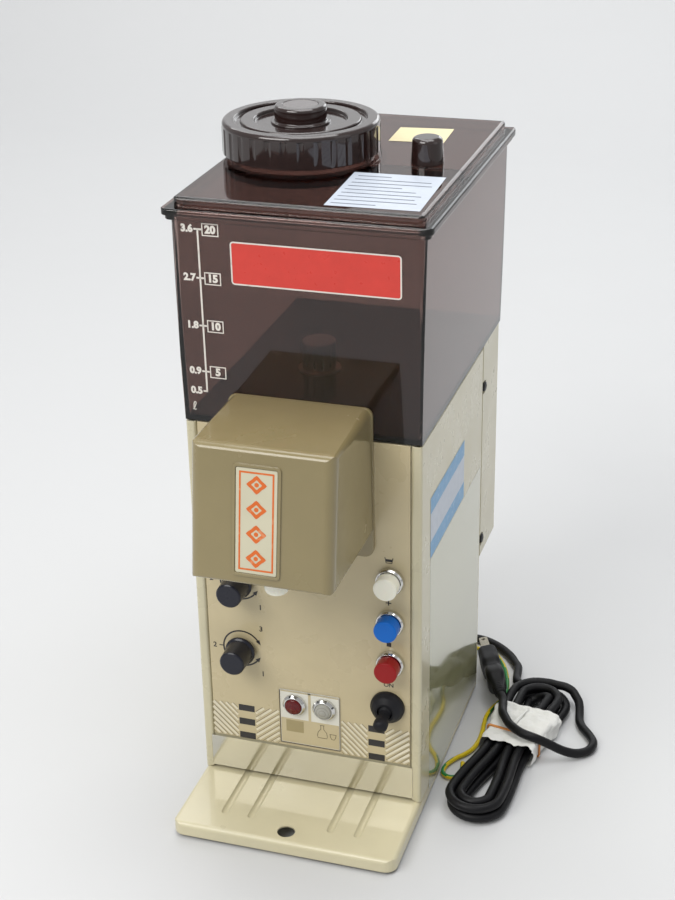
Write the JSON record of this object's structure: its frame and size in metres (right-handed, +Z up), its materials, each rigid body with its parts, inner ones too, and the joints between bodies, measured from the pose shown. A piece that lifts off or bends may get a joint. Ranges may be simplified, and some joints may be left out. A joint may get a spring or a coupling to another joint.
{
  "type": "sake warmer",
  "caption": "Countertop electric sake warmer: smoked tank with lids and a screw cap on a slim steel cabinet, spout hood over a drip tray, dials, buttons, toggle and bundled cord.",
  "frame": {"origin": "centre of the machine's bounding box in plan, at the surface that the feet stand on; the mains lead and its bundle aren't counted", "axes": "+Z up; the front with the spout and the controls faces -Y; +X is the right-hand side seen from the front"},
  "size_m": [0.2553, 0.3045, 0.4421],
  "materials": {
    "body_paint": "satin",
    "tray_paint": "gloss",
    "panel_print": "satin",
    "hood_paint": "gloss",
    "plain_steel": "brushed",
    "smoked_plastic": "transparent gloss",
    "dark_brown_plastic": "gloss",
    "disc_plastic": "satin",
    "black_rubber": "matte",
    "silicone": "matte",
    "black_plastic": "matte",
    "navy_plastic": "satin",
    "ivory_plastic": "gloss",
    "blue_plastic": "gloss",
    "red_plastic": "gloss",
    "red_lens": "transparent gloss",
    "clear_lens": "transparent gloss",
    "chromed": "polished",
    "white_print": "satin",
    "label_print": "satin",
    "brass_body": "satin",
    "steel_pin": "satin",
    "iron_core": "satin",
    "green_board": "satin",
    "cream_plastic": "satin",
    "black_cord": "satin",
    "blade_metal": "satin",
    "earth_green": "satin",
    "white_paper": "matte",
    "orange_rubber": "satin"
  },
  "bodies": {
    "machine": {"base_pan": "tray_paint", "rubber_feet": "black_rubber", "left_side_panel": "body_paint", "right_side_panel": "body_paint", "front_panel": "body_paint", "control_plate": "panel_print", "back_panel": "body_paint", "tank_deck": "plain_steel", "rear_cover": "body_paint", "casing_screws": "black_plastic", "tank": "smoked_plastic", "tank_gasket": "black_rubber", "tank_strainer": "plain_steel", "hood": "hood_paint", "hood_label_plate": "label_print", "hood_base": "hood_paint", "nozzle": "ivory_plastic", "control_bezels": "chromed", "button_switches": "black_plastic", "dial_pots": "plain_steel", "toggle_boot": "black_rubber", "toggle_switch_body": "black_plastic", "power_lamp_lens": "red_lens", "warming_lamp_lens": "clear_lens", "lamp_holders": "black_plastic", "lamp_plate": "white_print", "heater_vessel": "plain_steel", "vessel_stand": "plain_steel", "heater_element": "brass_body", "thermostat": "cream_plastic", "inlet_hose": "silicone", "outlet_hose": "silicone", "solenoid_valve": "brass_body", "spout_hose": "silicone", "transformer": "iron_core", "control_board": "green_board", "terminal_block": "cream_plastic", "cord_gland": "black_rubber", "power_cord": "black_cord", "cord_hank": "black_cord", "plug_body": "black_cord", "plug_blades": "blade_metal", "earth_wire": "earth_green", "paper_wrap": "white_paper", "rubber_band": "orange_rubber"},
    "front_lid": {"front_lid": "smoked_plastic", "fill_neck": "smoked_plastic"},
    "cap_lift": {"cap_seal": "silicone"},
    "fill_cap": {"fill_cap": "dark_brown_plastic", "cap_knob": "dark_brown_plastic", "cap_disc": "disc_plastic"},
    "rear_lid": {"rear_lid": "smoked_plastic", "rear_lid_knob": "dark_brown_plastic"},
    "dispense_button": {"dispense_button": "ivory_plastic"},
    "refill_button": {"refill_button": "blue_plastic"},
    "stop_button": {"stop_button": "red_plastic"},
    "volume_dial": {"volume_knob": "navy_plastic"},
    "temperature_dial": {"temperature_knob": "navy_plastic"},
    "toggle_lever": {"toggle_lever": "black_rubber"},
    "valve_plunger": {"valve_plunger": "steel_pin"}
  },
  "joints": [
    {"name": "front_lid_lift", "type": "slide", "parent": "machine", "child": "front_lid", "axis": [0, 0, 1], "range_m": [0, 0.08]},
    {"name": "cap_lift", "type": "slide", "parent": "front_lid", "child": "cap_lift", "axis": [0, 0, 1], "range_m": [0, 0.05]},
    {"name": "cap_turn", "type": "hinge", "parent": "cap_lift", "child": "fill_cap", "pos_m": [-0.03, 0.0336, 0.4286], "axis": [0, 0, 1], "range_deg": [0, 180]},
    {"name": "rear_lid_lift", "type": "slide", "parent": "machine", "child": "rear_lid", "axis": [0, 0, 1], "range_m": [0, 0.06]},
    {"name": "dispense_button_press", "type": "slide", "parent": "machine", "child": "dispense_button", "axis": [0, 1, 0], "range_m": [0, 0.0035], "stiffness_N_per_m": 400, "springref_m": -0.003},
    {"name": "refill_button_press", "type": "slide", "parent": "machine", "child": "refill_button", "axis": [0, 1, 0], "range_m": [0, 0.0035], "stiffness_N_per_m": 400, "springref_m": -0.003},
    {"name": "stop_button_press", "type": "slide", "parent": "machine", "child": "stop_button", "axis": [0, 1, 0], "range_m": [0, 0.0035], "stiffness_N_per_m": 400, "springref_m": -0.003},
    {"name": "volume_dial_turn", "type": "hinge", "parent": "machine", "child": "volume_dial", "pos_m": [-0.045, -0.0684, 0.109], "axis": [0, 1, 0], "range_deg": [-130, 130]},
    {"name": "temperature_dial_turn", "type": "hinge", "parent": "machine", "child": "temperature_dial", "pos_m": [-0.045, -0.0684, 0.159], "axis": [0, 1, 0], "range_deg": [-130, 130]},
    {"name": "toggle_flip", "type": "hinge", "parent": "machine", "child": "toggle_lever", "pos_m": [0.053, -0.0714, 0.082], "axis": [-1, 0, 0], "range_deg": [0, 25]},
    {"name": "valve_stroke", "type": "slide", "parent": "machine", "child": "valve_plunger", "axis": [0, 0, -1], "range_m": [0, 0.0048], "stiffness_N_per_m": 400, "springref_m": -0.003}
  ]
}
